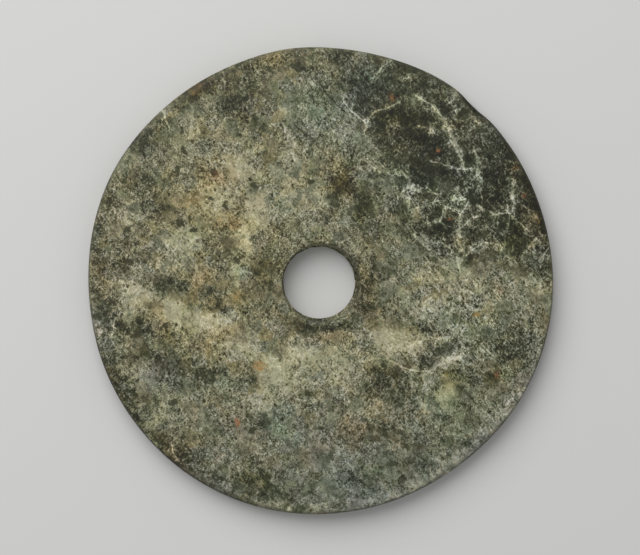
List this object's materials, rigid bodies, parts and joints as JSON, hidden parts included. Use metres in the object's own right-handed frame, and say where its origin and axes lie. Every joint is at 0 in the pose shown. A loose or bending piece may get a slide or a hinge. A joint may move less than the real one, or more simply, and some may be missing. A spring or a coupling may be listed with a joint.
{
  "type": "jade bi disc",
  "caption": "Flat, nearly round disc of mottled green nephrite, with one hole drilled through its middle from both faces; it lies flat.",
  "frame": {"origin": "under the middle of the outline, on the flat back face that the disc lies on", "axes": "+Z out of the front face, +Y towards the side shown at the top, +X towards the side shown at the right"},
  "size_m": [0.2194, 0.2204, 0.012],
  "materials": {
    "nephrite": "ground smooth and dully polished, mottled olive, cream and green-black, with pale veins and rust spots"
  },
  "bodies": {
    "root": {"disc": "nephrite"}
  },
  "joints": []
}
